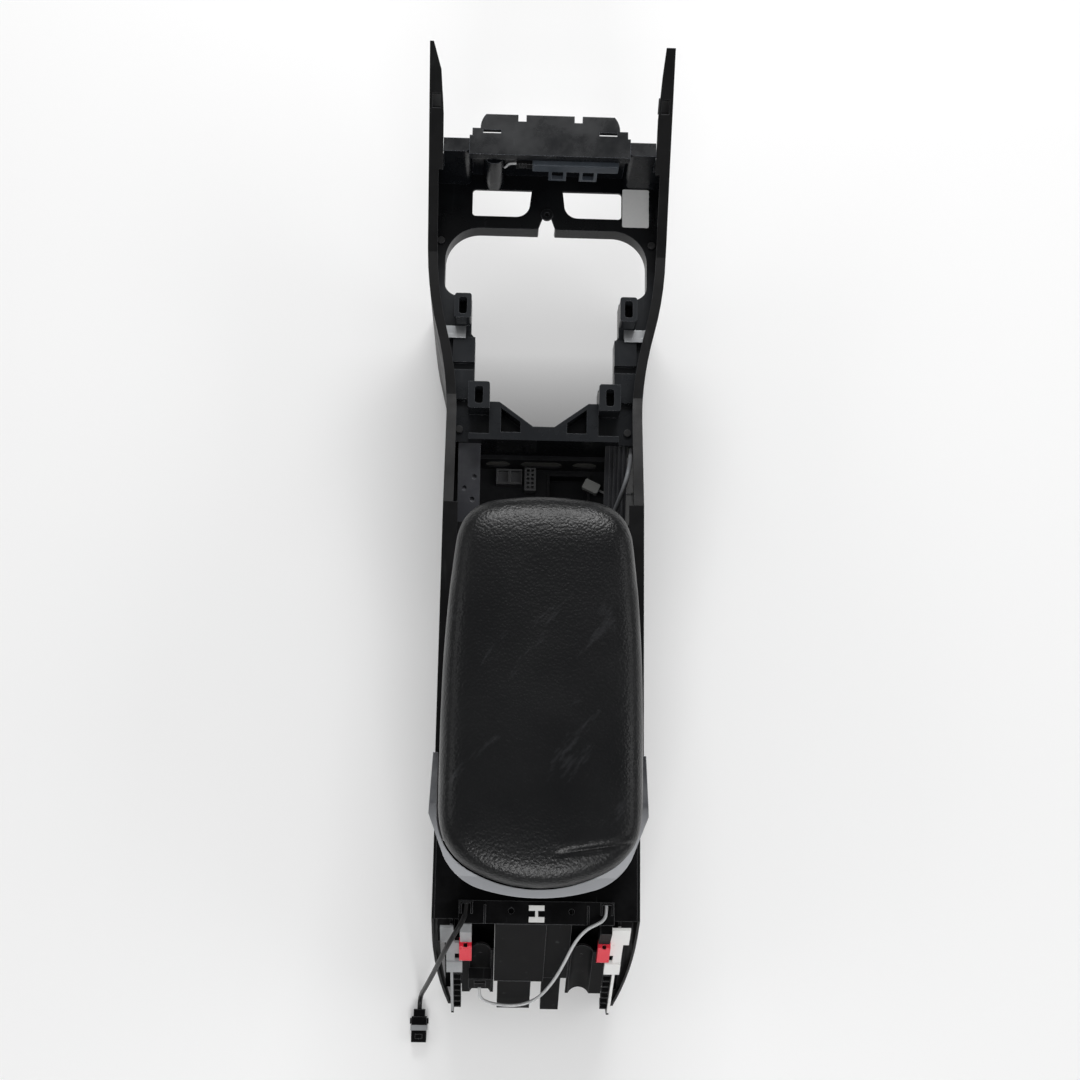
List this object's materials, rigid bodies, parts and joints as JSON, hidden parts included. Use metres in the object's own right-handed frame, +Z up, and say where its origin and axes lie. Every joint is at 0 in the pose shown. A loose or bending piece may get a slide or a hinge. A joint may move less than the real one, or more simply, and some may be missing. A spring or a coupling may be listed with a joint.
{
  "type": "car center console",
  "caption": "Long car center console with its trim lifted out: moulded side panels and deck with a gear lever opening, storage bin under a hinged padded armrest, rear air duct and leads",
  "frame": {"origin": "on the floor below the middle of the console's length and width", "axes": "+X to the right-hand side, +Y towards the dashboard, +Z up"},
  "size_m": [0.2715, 1.075, 0.345],
  "materials": {
    "black_moulded_plastic": "moulded, satin",
    "bluish_module_plastic": "moulded, satin",
    "spring_steel": "zinc plated",
    "white_nylon": "moulded, satin",
    "grey_nylon": "moulded, satin",
    "red_acetal": "moulded, gloss",
    "satin_grey_trim": "satin paint",
    "black_leatherette": "grained",
    "black_rubber": "moulded",
    "black_loom_tape": "taped loom",
    "silver_lead": "sheathed lead"
  },
  "bodies": {
    "console": {"left_side_panel": "black_moulded_plastic", "right_side_panel": "black_moulded_plastic", "deck_frame": "black_moulded_plastic", "deck_screws": "spring_steel", "deck_spring_clips": "spring_steel", "front_bridge": "black_moulded_plastic", "bridge_module": "bluish_module_plastic", "module_plug": "black_moulded_plastic", "module_lead": "black_loom_tape", "bin_tub": "black_moulded_plastic", "bin_screws": "spring_steel", "socket_panel": "black_moulded_plastic", "socket_block": "black_moulded_plastic", "connector_strip": "black_moulded_plastic", "aux_plug": "grey_nylon", "aux_lead": "silver_lead", "left_guide_rail": "black_moulded_plastic", "right_guide_rail": "black_moulded_plastic", "side_lead": "black_loom_tape", "rear_frame": "black_moulded_plastic", "rear_duct": "black_moulded_plastic", "left_outlet_channel": "black_moulded_plastic", "right_outlet_channel": "black_moulded_plastic", "left_rear_bracket": "grey_nylon", "right_rear_bracket": "white_nylon", "left_rear_post": "grey_nylon", "right_rear_post": "black_moulded_plastic", "left_red_clip": "red_acetal", "right_red_clip": "red_acetal", "duct_h_clip": "white_nylon", "armrest_trim": "satin_grey_trim", "hinge_base": "spring_steel", "hinge_pin": "spring_steel", "hinge_screws": "spring_steel", "lid_bumpers": "black_rubber", "harness_cable": "black_loom_tape", "harness_plug": "black_moulded_plastic", "plug_collar": "grey_nylon", "rear_wire": "silver_lead", "rear_wire_plug": "black_moulded_plastic"},
    "armrest_lid": {"armrest_cushion": "black_leatherette", "armrest_shell": "black_moulded_plastic", "armrest_liner": "black_moulded_plastic", "hinge_bracket": "spring_steel", "lid_screws": "spring_steel"}
  },
  "joints": [
    {"name": "armrest_hinge", "type": "hinge", "parent": "console", "child": "armrest_lid", "pos_m": [0, -0.352, 0.272], "axis": [1, 0, 0], "range_deg": [0, 75]}
  ]
}
